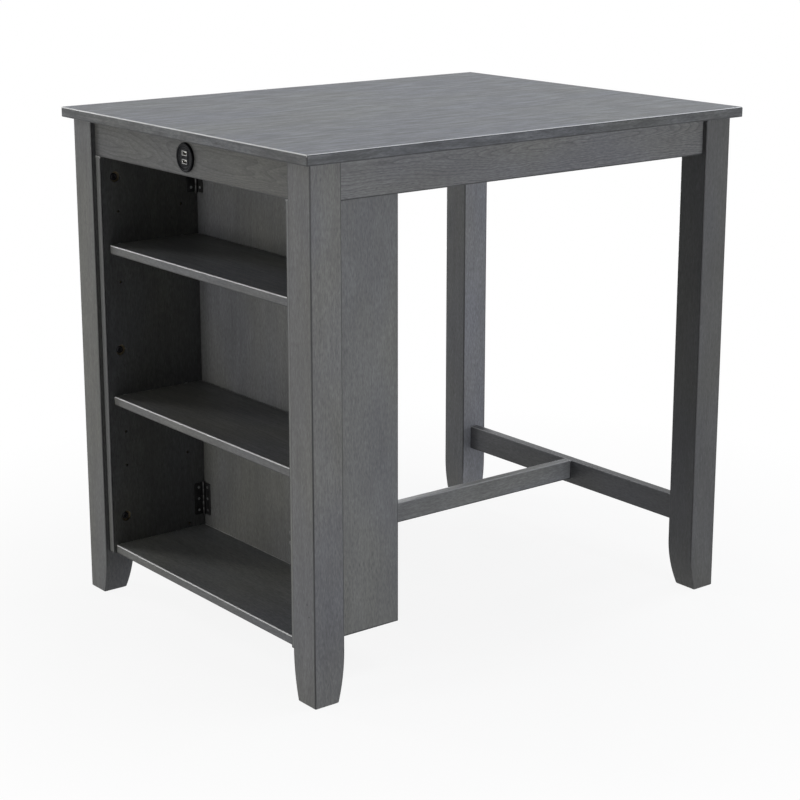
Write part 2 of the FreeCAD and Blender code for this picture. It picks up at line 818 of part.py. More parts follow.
# ---- round outlet with two sockets, through the cabinet-end apron ----
def make_outlet():
    face_x = -end_apron_outer_x
    front_x = face_x - outlet_proud
    floor_x = front_x + outlet_dish_depth
    centre = V(0, 0, apron_middle)

    def disc(radius, x, length):
        return rod(radius, centre + V(x, 0, 0), AXIS_X, length)

    inner_radius = outlet_barrel_radius - outlet_barrel_wall
    flange = disc(outlet_radius, front_x, outlet_proud)
    rim = [edge for edge in flange.Edges if edge.BoundBox.XMax < front_x + 0.01]
    flange = flange.makeFillet(outlet_round, rim)
    bezel = flange.fuse(disc(outlet_barrel_radius, face_x, outlet_barrel_length))
    bezel = bezel.cut(disc(outlet_dish_radius, front_x, outlet_dish_depth))
    bezel = bezel.cut(disc(inner_radius, front_x, outlet_barrel_length + outlet_proud))
    add("outlet_bezel", bezel.removeSplitter())
    cut_from("cabinet_end_apron", disc(outlet_barrel_radius + snug, face_x, apron_thickness))

    face = disc(inner_radius - snug, floor_x, outlet_face_thickness)
    board_x = floor_x + port_depth
    board = block(
        (board_x, board_x + outlet_board_thickness),
        (-outlet_board_width / 2, outlet_board_width / 2),
        (apron_middle - outlet_board_height / 2, apron_middle + outlet_board_height / 2),
    )
    for way in (-1, 1):
        z = apron_middle + way * port_pitch / 2
        half_width = port_width / 2
        half_height = port_height / 2
        shell = block(
            (floor_x, board_x),
            (-half_width, half_width),
            (z - half_height, z + half_height),
        )
        mouth = block(
            (floor_x, board_x - port_wall),
            (port_wall - half_width, half_width - port_wall),
            (z - half_height + port_wall, z + half_height - port_wall),
        )
        window = block(
            (floor_x, floor_x + outlet_face_thickness),
            (-half_width - snug, half_width + snug),
            (z - half_height - snug, z + half_height + snug),
        )
        tongue = block(
            (board_x - port_wall - tongue_depth, board_x - port_wall),
            (-tongue_width / 2, tongue_width / 2),
            (z, z + tongue_thickness),
        )
        face = face.cut(window)
        add("usb_shells", shell.cut(mouth))
        add("usb_tongues", tongue)
    add("outlet_face", face)
    add("outlet_board", board)

    nut_x = face_x + apron_thickness
    nut = disc(outlet_nut_radius, nut_x, outlet_nut_thickness)
    nut = nut.cut(disc(outlet_barrel_radius + snug, nut_x, outlet_nut_thickness))
    for step in range(outlet_nut_grooves):
        angle = 2 * math.pi * step / outlet_nut_grooves
        groove = V(nut_x, outlet_nut_radius * math.cos(angle), outlet_nut_radius * math.sin(angle))
        groove = groove + V(0, 0, apron_middle)
        nut = nut.cut(rod(outlet_nut_groove_radius, groove, AXIS_X, outlet_nut_thickness))
    add("outlet_nut", nut)

    cap_x = face_x + outlet_barrel_length
    cap = disc(outlet_barrel_radius, cap_x, outlet_cap_thickness)
    lip_x = cap_x - outlet_cap_thickness
    lip = disc(inner_radius - snug, lip_x, outlet_cap_thickness)
    lip = lip.cut(disc(inner_radius - outlet_barrel_wall, lip_x, outlet_cap_thickness))
    sleeve = disc(outlet_sleeve_radius, cap_x + outlet_cap_thickness, outlet_sleeve_length)
    cap = fuse_all([cap, lip, sleeve])
    inlet_length = 2 * outlet_cap_thickness + outlet_sleeve_length
    inlet = disc(outlet_inlet_radius, lip_x, inlet_length)
    add("outlet_back_cap", cap.cut(inlet))


# ---- assembly ----
def make_everything():
    make_top()
    make_aprons()
    for end_name, end in ends.items():
        for side_name, side in sides.items():
            make_leg("leg_" + end_name + "_" + side_name, end, side)
            make_apron_dowels(end_name, side_name)
            make_bracket(end_name, side_name)
    make_top_angles()
    make_back_panel()
    for side_name in sides:
        make_side_panel(side_name)
        make_panel_bolts(side_name)
        make_hinge("upper", side_name, panel_top - hinge_from_top)
        make_hinge("lower", side_name, panel_bottom + hinge_from_bottom)
    make_bottom_shelf()
    make_shelf("middle_shelf", middle_shelf_bottom, middle_shelf_corner_radius)
    make_shelf("top_shelf", top_shelf_bottom, top_shelf_corner_radius)
    make_supports("middle_shelf_supports", middle_shelf_bottom)
    make_supports("top_shelf_supports", top_shelf_bottom)
    make_stretchers()
    make_outlet()


def write_parts():
    os.makedirs("parts", exist_ok=True)
    for name, solids in parts.items():
        if name in cutters:
            solids = [solid.cut(cutters[name]) for solid in solids]
        pieces = []
        for solid in solids:
            pieces += solid.Solids
        for piece in pieces:
            if not piece.isValid():
                print("not valid:", name)
        whole = pieces[0] if len(pieces) == 1 else Part.makeCompound(pieces)
        whole.exportStep("parts/" + name + ".step")
        print(name, len(pieces), round(whole.Volume / 1000, 2), "cm3")


make_everything()
write_parts()
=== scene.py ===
import bpy
import math
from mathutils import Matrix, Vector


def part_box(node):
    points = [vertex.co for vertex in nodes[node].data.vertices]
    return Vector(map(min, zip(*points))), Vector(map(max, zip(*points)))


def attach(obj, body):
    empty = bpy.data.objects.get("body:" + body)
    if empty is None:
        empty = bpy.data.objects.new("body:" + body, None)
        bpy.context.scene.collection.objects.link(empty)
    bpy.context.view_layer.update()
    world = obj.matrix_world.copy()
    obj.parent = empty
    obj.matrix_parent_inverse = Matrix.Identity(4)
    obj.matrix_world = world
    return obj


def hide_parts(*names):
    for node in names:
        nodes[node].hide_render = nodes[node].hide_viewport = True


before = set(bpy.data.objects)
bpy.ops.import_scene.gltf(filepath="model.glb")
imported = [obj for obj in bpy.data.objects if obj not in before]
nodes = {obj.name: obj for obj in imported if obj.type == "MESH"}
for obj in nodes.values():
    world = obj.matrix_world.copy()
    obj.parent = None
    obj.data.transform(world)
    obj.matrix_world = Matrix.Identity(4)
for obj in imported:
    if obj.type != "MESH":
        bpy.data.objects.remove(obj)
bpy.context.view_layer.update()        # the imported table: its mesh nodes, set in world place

mm = 0.001
mergeReach = 0.001 * mm          # points nearer than this become one
hair = 0.01 * mm                 # a reach that only has to be past rounding
noiseMiddle = 0.5                # of the values that a noise texture gives
axisNumber = {"x": 0, "y": 1, "z": 2}


# small helpers

def toLinear(hexCode):
    # sRGB hex to the linear colour that a shader works in
    channels = [int(hexCode[i:i + 2], 16) / 255 for i in (0, 2, 4)]
    return [c / 12.92 if c <= 0.04045 else ((c + 0.055) / 1.055) ** 2.4 for c in channels] + [1.0]


def addNode(tree, kind, inputs=(), output=0, stops=(), **settings):
    # adds a node and gives one of its outputs, or all of them where output is None; inputs
    # stand in order or by name, each an output to link, a hex colour or a plain value
    node = tree.nodes.new("ShaderNode" + kind)
    for name, value in settings.items():
        setattr(node, name, value)
    if not isinstance(inputs, dict):
        inputs = dict(enumerate(inputs))
    for name, value in inputs.items():
        if isinstance(value, bpy.types.NodeSocket):
            tree.links.new(value, node.inputs[name])
        elif isinstance(value, str):
            node.inputs[name].default_value = toLinear(value)
        else:
            node.inputs[name].default_value = value
    for index, (place, hexCode) in enumerate(stops):
        elements = node.color_ramp.elements      # a new ramp has two
        stop = elements[index] if index < len(elements) else elements.new(place)
        stop.position = place
        stop.color = toLinear(hexCode)
    return node.outputs if output is None else node.outputs[output]


# a Mix node set to colours: its inputs 0, 6 and 7 are the share and the two colours
asColour = {"data_type": "RGBA", "output": 2}


def startTree(holder):
    # an empty node tree for a material or a world
    holder.use_nodes = True
    holder.node_tree.nodes.clear()
    return holder.node_tree


def finishWith(thing, material):
    thing.data.materials.clear()
    thing.data.materials.append(material)


def deselectAll():
    if bpy.context.object and bpy.context.object.mode != "OBJECT":
        bpy.ops.object.mode_set(mode="OBJECT")
    bpy.ops.object.select_all(action="DESELECT")


def pickOnly(thing):
    deselectAll()
    thing.select_set(True)
    bpy.context.view_layer.objects.active = thing


# Stained oak: boards and legs veneered or made in oak, stained charcoal grey and lacquered
# satin. The eye sees short flecks and fine fibres that waver along each board, faint growth
# rings, a stain that clouds and drifts between blue grey and olive, and dark arris lines, partly
# stain that gathers and partly painted shade at joints and under edges; upper arrises are paler,
# partly rubbed wear and partly a painted highlight.

oakLook = {
    "shader": {"IOR": 1.5, "Coat Weight": 0.10, "Coat Roughness": 0.30, "Specular IOR Level": 0.34},
    "darkStain": "4e4f51",
    "midStain": "646567",
    "paleStain": "7c7e80",
    "blueTint": "f7f9ff",
    "oliveTint": "fffff6",
    # the pale colour of upper arrises: partly rubbed wear, partly a painted highlight
    "paleArrisWearAndHighlight": "f2f3f5",
    # the dark arris colour: partly stain gathered on arrises, partly painted shade at joints and under
    # edges
    "darkArrisStainAndShade": "1d1e20",
    "pore": "3c3d3f",
    "rawCore": "a2967f",
    "pinKnot": "262524",
    "seedShift": (1.31, 2.17, 0.73),
    # how far an arris's line reaches, and the share of that where it is at its full strength
    "darkWidth": 2.5 * mm,
    "paleWidth": 2.1 * mm,
    "fullWidth": 0.6,
    "darkShare": 0.95,
    "darkBreaks": (0.25, 0.55, 0.55, 1.0),   # from the cloud layer's value to a share
    "upperReach": (4 * mm, 3 * mm),          # below the upper face
    "coreDepth": 3.2 * mm,
    "knotRadius": (1.9 * mm, 1.0 * mm),
    "bandShare": 0.35,
    # how squarely a face looks along an axis where it counts as an end, a flank or a broad face
    "endFace": 0.8,
    "flankFace": 0.7,
    "broadFace": 0.5,
    "fibreLimits": (0.3, 0.7),
    "roughness": (0.56, 0.42),
    "bump": {"Strength": 0.30, "Distance": 0.3 * mm},
    "reliefShares": {"fleck": 0.6, "pore": -0.4},
    # layer: waves per metre along and across the grain, and detail
    "layers": {
        "fleck": (105, 430, 2.0),    # strokes 10 mm long and 2.3 mm wide, coarser than real
        "fine": (140, 1500, 1.0),    # 7 by 0.7 mm
        "fibre": (14, 230, 3.0),     # 71 by 4.3 mm
        "streak": (3.0, 55, 2.0),    # 330 by 18 mm
        "patch": (16, 66, 3.0),      # 63 by 15 mm
        "cloud": (6.0, 14, 3.0),     # 170 by 71 mm
    },
    # pores of 11 by 1.2 mm, coarser than real, and the values between which they deepen
    "poreNoise": (95, 820),
    "poreLimits": (0.36, 0.26),
    "poreShare": 0.55,
    # growth rings: waves per metre of the swell that they follow, and how many it holds
    "ringNoise": (1.1, 15.0),
    "ringDetail": 1.5,
    "ringRoughness": 0.35,
    "ringCount": 44,
    "ringPower": 3.0,
    "ringMiddle": 0.25,
    # the tint's slow drift between blue grey and olive
    "drift": (1.6, 3.4),
    "driftScale": 1.7,
    "driftLimits": (0.36, 0.64),
}

# how strongly each layer and the growth rings show in each kind of board, and how its fibres
# waver: waves per metre along and across the grain, and how far they push
figures = {
    "plain": {
        "fleck": 1.00, "fine": 0.70, "fibre": 0.32, "streak": 0.12, "patch": 0.30, "cloud": 0.55,
        "ring": 0.0, "waver": (20, 34, 2.6 * mm),
    },
    "streaky": {
        "fleck": 1.40, "fine": 0.50, "fibre": 1.30, "streak": 0.70, "patch": 2.1, "cloud": 0.40,
        "ring": 0.06, "waver": (20, 34, 3.0 * mm),
    },
    "curly": {
        "fleck": 1.00, "fine": 0.60, "fibre": 0.35, "streak": 0.12, "patch": 0.15, "cloud": 0.45,
        "ring": 0.50, "waver": (16, 30, 5.0 * mm),
    },
}

# what a board is like unless its own entry says otherwise
usualBoard = {
    "figure": "plain",
    "isLeg": False,
    "tone": (1, 1, 1),
    "edgeStainAndShade": None,       # for its narrow faces, partly stain and partly painted shade
    "flankStainAndShade": None,      # for its faces that look along X, partly stain and partly painted shade
    "band": None,           # the axis along which its edges with paler bands look
    "rubAndHighlight": 0.25,            # how pale its upper arrises are, partly rubbed wear and partly painted highlight
    "darkSides": False,     # its long sides' arrises get the pale wear and painted highlight only where a face looks up
    "knots": (),            # where its small pin knots are, from its low corner
}

# each board's grain, the grain of the bands on its ends, and what else differs; the tones
# were fitted under the soft boxes below, so part of each is light and not stain, and tones
# nearer 1 are safer under other light
boards = {
    "table_top": {
        "grain": "x", "endGrain": "y", "figure": "streaky", "rubAndHighlight": 0.92, "darkSides": True,
        "tone": (0.71, 0.76, 0.85), "edgeStainAndShade": (0.93, 0.88, 0.79),
    },
    "long_apron_left": {"grain": "x", "endGrain": "z", "figure": "curly"},
    "long_apron_right": {
        "grain": "x", "endGrain": "z", "figure": "curly", "tone": (1.05, 1.03, 1.01),
    },
    "cabinet_end_apron": {
        "grain": "y", "endGrain": "z", "figure": "curly", "tone": (0.55, 0.54, 0.52),
    },
    "far_end_apron": {"grain": "y", "endGrain": "z", "figure": "curly"},
    "side_panel_left": {
        "grain": "z", "endGrain": "x", "band": "x", "tone": (0.88, 0.87, 0.84),
    },
    "side_panel_right": {
        "grain": "z", "endGrain": "x", "band": "x", "tone": (1.05, 1.04, 1.01),
    },
    "back_panel": {"grain": "z", "endGrain": "y", "tone": (1.05, 1.04, 1.03)},
    "bottom_shelf": {
        "grain": "y", "endGrain": "x", "rubAndHighlight": 0.85,
        "tone": (1.30, 1.29, 1.27), "edgeStainAndShade": (0.59, 0.59, 0.59),
    },
    "middle_shelf": {
        "grain": "y", "endGrain": "x", "rubAndHighlight": 0.85,
        "tone": (0.88, 0.86, 0.83), "edgeStainAndShade": (0.96, 0.96, 0.97),
    },
    "top_shelf": {
        "grain": "y", "endGrain": "x", "rubAndHighlight": 0.85,
        "tone": (0.88, 0.87, 0.86), "edgeStainAndShade": (0.92, 0.92, 0.92),
    },
    "long_stretcher": {"grain": "x", "endGrain": "z", "tone": (1.16, 1.16, 1.18)},
    "cross_stretcher": {"grain": "y", "endGrain": "z", "tone": (0.62, 0.61, 0.60)},
}
# the legs' tones were fitted the same way: partly stain, partly painted light and shade
legs = {
    "leg_cabinet_left": {"tone": (0.79, 0.78, 0.76)},
    "leg_cabinet_right": {
        "tone": (1.00, 0.98, 0.96),
        "knots": ((0, 20.4 * mm, 176.9 * mm), (0, 15.1 * mm, 156.9 * mm)),
    },
    "leg_far_left": {"tone": (1.52, 1.50, 1.50), "flankStainAndShade": (0.48, 0.48, 0.47)},
    "leg_far_right": {"tone": (0.55, 0.54, 0.53), "flankStainAndShade": (0.77, 0.77, 0.76)},
}
usualLeg = {"grain": "z", "endGrain": "x", "isLeg": True}
firstBoardSeed = 1
firstLegSeed = 21


def boardSurface(tree, node):
    # a point's place, which way its face looks, and how deep it lies below each pair of faces
    low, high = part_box(node)
    centre = [(a + b) / 2 for a, b in zip(low, high)]
    half = [(b - a) / 2 for a, b in zip(low, high)]
    place = addNode(tree, "TexCoord", output=None)
    offset = addNode(tree, "VectorMath", (place["Object"], centre), operation="SUBTRACT")
    offset = addNode(tree, "VectorMath", (offset,), operation="ABSOLUTE")
    depth = addNode(tree, "VectorMath", (half, offset), operation="SUBTRACT")
    return {
        "low": low,
        "top": high[2],
        "point": place["Object"],
        "facing": addNode(tree, "SeparateXYZ", (place["Normal"],), output=None),
        "depth": addNode(tree, "SeparateXYZ", (depth,), output=None),
    }


def squareTo(tree, surface, axis):
    # how squarely a face looks along an axis, either way
    return addNode(tree, "Math", (surface["facing"][axisNumber[axis]],), operation="ABSOLUTE")


def grainStretch(tree, surface, board, seed):
    # gives a function that stretches a pattern along the board's grain, and on the board's
    # ends along the grain of the band that covers them
    square = squareTo(tree, surface, board["grain"])
    isEnd = addNode(tree, "Math", (square, oakLook["endFace"]), operation="GREATER_THAN")
    shift = [seed * share for share in oakLook["seedShift"]]

    def stretch(source, along, across):
        mapped = []
        for axis in (board["grain"], board["endGrain"]):
            scale = [across, across, across]
            scale[axisNumber[axis]] = along
            inputs = {"Vector": source, "Location": shift, "Scale": scale}
            mapped.append(addNode(tree, "Mapping", inputs))
        inputs = {0: isEnd, 4: mapped[0], 5: mapped[1]}
        return addNode(tree, "Mix", inputs, output=1, data_type="VECTOR")

    return stretch


def waveringPoint(tree, point, stretch, waver):
    # fibres waver: the point is pushed sideways by a slow noise before they are drawn
    along, across, push = waver
    inputs = {"Vector": stretch(point, along, across), "Scale": 1.0, "Detail": 1.0}
    wave = addNode(tree, "TexNoise", inputs, output="Color")
    wave = addNode(tree, "VectorMath", (wave, [noiseMiddle] * 3), operation="SUBTRACT")
    wave = addNode(tree, "VectorMath", (wave, [push] * 3), operation="MULTIPLY")
    return addNode(tree, "VectorMath", (point, wave), operation="ADD")


def growthRings(tree, wavering, stretch):
    # a saw of a slow, stretched noise: paler spring wood before each dark line
    look = oakLook
    swell = addNode(tree, "TexNoise", {
        "Vector": stretch(wavering, *look["ringNoise"]), "Scale": 1.0,
        "Detail": look["ringDetail"], "Roughness": look["ringRoughness"],
    })
    ring = addNode(tree, "Math", (swell, look["ringCount"]), operation="MULTIPLY")
    ring = addNode(tree, "Math", (ring,), operation="FRACT")
    ring = addNode(tree, "Math", (ring, look["ringPower"]), operation="POWER")
    return addNode(tree, "Math", (ring, look["ringMiddle"]), operation="SUBTRACT")


def drawGrain(tree, point, stretch, shows):
    # gives the stain's colour, the layers it came from and how deep the pores are
    look = oakLook
    wavering = waveringPoint(tree, point, stretch, shows["waver"])
    layers = {}
    value = noiseMiddle
    for layer, (along, across, detail) in look["layers"].items():
        source = point if layer == "cloud" else wavering
        inputs = {"Vector": stretch(source, along, across), "Scale": 1.0, "Detail": detail}
        layers[layer] = addNode(tree, "TexNoise", inputs)
        part = addNode(tree, "Math", (layers[layer], noiseMiddle), operation="SUBTRACT")
        value = addNode(tree, "Math", (part, shows[layer], value), operation="MULTIPLY_ADD")
    if shows["ring"]:
        rings = growthRings(tree, wavering, stretch)
        value = addNode(tree, "Math", (rings, -shows["ring"], value), operation="MULTIPLY_ADD")
    colour = addNode(tree, "ValToRGB", (value,), stops=(
        (0.0, look["darkStain"]), (0.5, look["midStain"]), (1.0, look["paleStain"]),
    ))

    inputs = {"Vector": stretch(wavering, *look["poreNoise"]), "Scale": 1.0, "Detail": 1.0}
    pore = addNode(tree, "TexNoise", inputs)
    poreDip = addNode(tree, "MapRange", (pore, *look["poreLimits"]))
    share = addNode(tree, "Math", (poreDip, look["poreShare"]), operation="MULTIPLY")
    colour = addNode(tree, "Mix", {0: share, 6: colour, 7: look["pore"]}, **asColour)

    inputs = {"Vector": stretch(point, *look["drift"]), "Scale": look["driftScale"]}
    drift = addNode(tree, "TexNoise", inputs)
    drift = addNode(tree, "MapRange", (drift, *look["driftLimits"]))
    tint = addNode(tree, "ValToRGB", (drift,), stops=(
        (0.0, look["oliveTint"]), (1.0, look["blueTint"]),
    ))
    inputs = {0: 1.0, 6: colour, 7: tint}
    colour = addNode(tree, "Mix", inputs, blend_type="MULTIPLY", **asColour)
    return colour, layers, poreDip


def drawTones(tree, surface, colour, board):
    look = oakLook
    if board["band"]:
        # the bands glued on this pair of edges took less stain
        square = squareTo(tree, surface, board["band"])
        onBand = addNode(tree, "Math", (square, look["endFace"]), operation="GREATER_THAN")
        share = addNode(tree, "Math", (onBand, look["bandShare"]), operation="MULTIPLY")
        colour = addNode(tree, "Mix", {0: share, 6: colour, 7: look["paleStain"]}, **asColour)
    tones = []
    if board["edgeStainAndShade"]:
        # the narrow faces have a tone of their own, partly stain and partly painted shade
        square = squareTo(tree, surface, "z")
        onEdge = addNode(tree, "Math", (square, look["broadFace"]), operation="LESS_THAN")
        tones.append((onEdge, board["edgeStainAndShade"]))
    if board["flankStainAndShade"]:
        # and so has the pair of a leg's faces that looks along X, partly stain and partly painted shade
        square = squareTo(tree, surface, "x")
        onFlank = addNode(tree, "Math", (square, look["flankFace"]), operation="GREATER_THAN")
        tones.append((onFlank, board["flankStainAndShade"]))
    # the board's own tone: partly stain and partly painted light and shade, fitted under the soft boxes
    tones.append((1.0, board["tone"]))
    for share, tone in tones:
        inputs = {0: share, 6: colour, 7: (*tone, 1.0)}
        colour = addNode(tree, "Mix", inputs, blend_type="MULTIPLY", **asColour)
    return colour


def drawArrises(tree, surface, colour, cloud, board):
    # pale where an arris faces up, partly rubbed wear and partly painted highlight; dark elsewhere,
    # partly gathered stain and partly painted shade at joints and under edges
    look = oakLook
    x, y, z = surface["depth"]
    nearer = addNode(tree, "Math", (x, y), operation="MINIMUM")
    further = addNode(tree, "Math", (x, y), operation="MAXIMUM")
    if board["isLeg"]:
        fromArris = further          # only a leg's four long arrises count, not its ends
    else:
        second = addNode(tree, "Math", (further, z), operation="MINIMUM")
        fromArris = addNode(tree, "Math", (nearer, second), operation="MAXIMUM")

    # the dark arris lines: partly gathered stain, partly painted shade
    width = look["darkWidth"]
    dark = addNode(tree, "MapRange", (fromArris, width, width * look["fullWidth"]))
    breaks = addNode(tree, "MapRange", (cloud, *look["darkBreaks"]))
    dark = addNode(tree, "Math", (dark, breaks), operation="MULTIPLY")
    dark = addNode(tree, "Math", (dark, look["darkShare"]), operation="MULTIPLY")
    dark = addNode(tree, "Mix", {0: dark, 6: colour, 7: look["darkArrisStainAndShade"]}, **asColour)
    if board["isLeg"]:
        return dark

    # the pale upper arrises: partly rubbed wear and partly a painted highlight
    width = look["paleWidth"]
    limits = (width, width * look["fullWidth"], 0.0, board["rubAndHighlight"])
    paleWearAndHighlight = addNode(tree, "MapRange", (fromArris, *limits))
    paleWearAndHighlight = addNode(tree, "Mix", {0: paleWearAndHighlight, 6: colour, 7: look["paleArrisWearAndHighlight"]}, **asColour)
    height = addNode(tree, "SeparateXYZ", (surface["point"],), output=2)
    limits = [surface["top"] - reach for reach in look["upperReach"]]
    isUpper = addNode(tree, "MapRange", (height, *limits))
    # on the long sides the pale wear and painted highlight are kept to faces that look up
    if board["darkSides"]:
        atEnd = addNode(tree, "Math", (x, y), operation="LESS_THAN")
        up = surface["facing"][2]
        fromAbove = addNode(tree, "Math", (up, look["broadFace"]), operation="GREATER_THAN")
        rubbedOrHighlit = addNode(tree, "Math", (atEnd, fromAbove), operation="MAXIMUM")
        isUpper = addNode(tree, "Math", (isUpper, rubbedOrHighlit), operation="MULTIPLY")
    colour = addNode(tree, "Mix", {0: isUpper, 6: dark, 7: paleWearAndHighlight}, **asColour)

    # holes and cuts show the unstained core
    deep = addNode(tree, "Math", (nearer, z), operation="MINIMUM")
    inside = addNode(tree, "Math", (deep, look["coreDepth"]), operation="GREATER_THAN")
    return addNode(tree, "Mix", {0: inside, 6: colour, 7: look["rawCore"]}, **asColour)


def stainedOak(node, board, seed):
    look = oakLook
    material = bpy.data.materials.new("stainedOak_" + node)
    tree = startTree(material)
    surface = boardSurface(tree, node)
    point = surface["point"]
    stretch = grainStretch(tree, surface, board, seed)
    colour, layers, poreDip = drawGrain(tree, point, stretch, figures[board["figure"]])
    colour = drawTones(tree, surface, colour, board)
    colour = drawArrises(tree, surface, colour, layers["cloud"], board)
    for knot in board["knots"]:
        place = [a + b for a, b in zip(surface["low"], knot)]
        gap = addNode(tree, "VectorMath", (point, place), output="Value", operation="DISTANCE")
        share = addNode(tree, "MapRange", (gap, *look["knotRadius"]))
        colour = addNode(tree, "Mix", {0: share, 6: colour, 7: look["pinKnot"]}, **asColour)

    limits = (*look["fibreLimits"], *look["roughness"])
    gloss = addNode(tree, "MapRange", (layers["fibre"], *limits))
    shares = look["reliefShares"]
    relief = addNode(tree, "Math", (poreDip, shares["pore"]), operation="MULTIPLY")
    inputs = (layers["fleck"], shares["fleck"], relief)
    relief = addNode(tree, "Math", inputs, operation="MULTIPLY_ADD")
    bump = addNode(tree, "Bump", {"Height": relief, **look["bump"]})
    shader = addNode(tree, "BsdfPrincipled", {
        **look["shader"], "Base Color": colour, "Roughness": gloss, "Normal": bump,
    })
    addNode(tree, "OutputMaterial", (shader,), output=None)
    return material


for seed, (node, differs) in enumerate(boards.items(), firstBoardSeed):
    finishWith(nodes[node], stainedOak(node, {**usualBoard, **differs}, seed))
for seed, (node, differs) in enumerate(legs.items(), firstLegSeed):
    finishWith(nodes[node], stainedOak(node, {**usualBoard, **usualLeg, **differs}, seed))
print("boards and legs stained")


# Metals and plastics of the fittings. Each has fine detail from noise in real size.

speckle = {
    "fineNoise": {"Detail": 3.0, "Roughness": 0.6},
    "fineShare": 0.5,
    "broadShare": 0.5,
    "colourLimits": (0.35, 0.65),
    "roughLimits": (0.3, 0.7),
    "bumpDistance": 0.1 * mm,
}


def speckled(name, look):
    # a base colour with fine and broad variation, for small fittings; its two scales are
    # waves per metre, so that 500 is a grain of 2 mm and 1000 one of 1 mm, coarser than real
    material = bpy.data.materials.new(name)
    tree = startTree(material)
    point = addNode(tree, "TexCoord", output="Object")
    stretch = look.get("stretch", (1, 1, 1))
    drawn = addNode(tree, "VectorMath", (point, stretch), operation="MULTIPLY")
    inputs = {"Vector": drawn, "Scale": look["fineScale"], **speckle["fineNoise"]}
    fine = addNode(tree, "TexNoise", inputs)
    broad = addNode(tree, "TexNoise", {"Vector": point, "Scale": look["broadScale"]})
    mixed = addNode(tree, "Math", (broad, speckle["broadShare"]), operation="MULTIPLY")
    inputs = (fine, speckle["fineShare"], mixed)
    mixed = addNode(tree, "Math", inputs, operation="MULTIPLY_ADD")
    mixed = addNode(tree, "MapRange", (mixed, *speckle["colourLimits"]))
    stops = ((0.0, look["dark"]), (1.0, look["light"]))
    colour = addNode(tree, "ValToRGB", (mixed,), stops=stops)
    rough = addNode(tree, "MapRange", (fine, *speckle["roughLimits"], *look["rough"]))
    inputs = {"Height": fine, "Strength": look["bump"], "Distance": speckle["bumpDistance"]}
    bump = addNode(tree, "Bump", inputs)
    shader = addNode(tree, "BsdfPrincipled", {
        **look["shader"], "Base Color": colour, "Roughness": rough, "Normal": bump,
    })
    addNode(tree, "OutputMaterial", (shader,), output=None)
    return material


# Powder-coated steel: black, with a fine orange peel that breaks up its highlights.
powderCoatedSteel = speckled("powderCoatedSteel", {
    "shader": {"Metallic": 0.0, "IOR": 1.5, "Specular IOR Level": 0.55},
    "dark": "0c0c0d", "light": "1a1a1b", "rough": (0.32, 0.46),
    "fineScale": 900, "broadScale": 60, "bump": 0.35,
})
# Zinc-plated steel: pressed and plated bright, so it looks cool silver with cloudy grey.
zincPlatedSteel = speckled("zincPlatedSteel", {
    "shader": {"Metallic": 1.0},
    "dark": "9a9b9c", "light": "c8c9cb", "rough": (0.24, 0.40),
    "fineScale": 700, "broadScale": 90, "bump": 0.2,
})
# Black-oxide steel: bolts blackened in a bath, which leaves a dark, oily satin.
blackOxideSteel = speckled("blackOxideSteel", {
    "shader": {"Metallic": 0.85},
    "dark": "2a2a2c", "light": "4a4a4d", "rough": (0.28, 0.42),
    "fineScale": 800, "broadScale": 120, "bump": 0.25,
})
# Die-cast zinc alloy: cams and inserts, dull grey with a grainy cast skin.
dieCastZinc = speckled("dieCastZinc", {
    "shader": {"Metallic": 1.0},
    "dark": "7b7c7d", "light": "a3a4a5", "rough": (0.42, 0.58),
    "fineScale": 600, "broadScale": 80, "bump": 0.5,
})
# Moulded ABS: the outlet's black body, with a fine spark-eroded texture.
mouldedAbs = speckled("mouldedAbs", {
    "shader": {"IOR": 1.53, "Specular IOR Level": 0.07},
    "dark": "06070a", "light": "0d0f14", "rough": (0.30, 0.44),
    "fineScale": 1400, "broadScale": 90, "bump": 0.3,
})
# Nickel-plated socket steel: folded thin sheet, bright with faint rolling lines.
nickelPlatedSteel = speckled("nickelPlatedSteel", {
    "shader": {"Metallic": 1.0},
    "dark": "77777a", "light": "b4b3b0", "rough": (0.16, 0.28),
    "fineScale": 500, "broadScale": 150, "bump": 0.15, "stretch": (0.1, 1, 1),
})
# Gold-plated phosphor bronze: the contacts in a socket, thin pale gold on stamped strip.
goldPlatedBronze = speckled("goldPlatedBronze", {
    "shader": {"Metallic": 1.0},
    "dark": "c79a46", "light": "e5c16e", "rough": (0.20, 0.32),
    "fineScale": 900, "broadScale": 200, "bump": 0.15, "stretch": (0.1, 1, 1),
})
# Glass-filled nylon: the white tongue in a socket, slightly grainy.
filledNylon = speckled("filledNylon", {
    "shader": {"IOR": 1.53, "Specular IOR Level": 0.4},
    "dark": "d8d8d4", "light": "efefeb", "rough": (0.42, 0.55),
    "fineScale": 1500, "broadScale": 200, "bump": 0.2,
})
# Glass-epoxy circuit board: green solder mask, mottled by the glass weave under it.
glassEpoxy = speckled("glassEpoxy", {
    "shader": {"IOR": 1.5, "Specular IOR Level": 0.5},
    "dark": "0e3a22", "light": "1b5a36", "rough": (0.25, 0.35),
    "fineScale": 1800, "broadScale": 100, "bump": 0.2,
})
# Beech: fluted dowels of pale pinkish wood, speckled as its short rays are.
turnedBeech = speckled("turnedBeech", {
    "shader": {"IOR": 1.5, "Specular IOR Level": 0.3},
    "dark": "b58e62", "light": "d9b98d", "rough": (0.55, 0.70),
    "fineScale": 500, "broadScale": 60, "bump": 0.4,
})

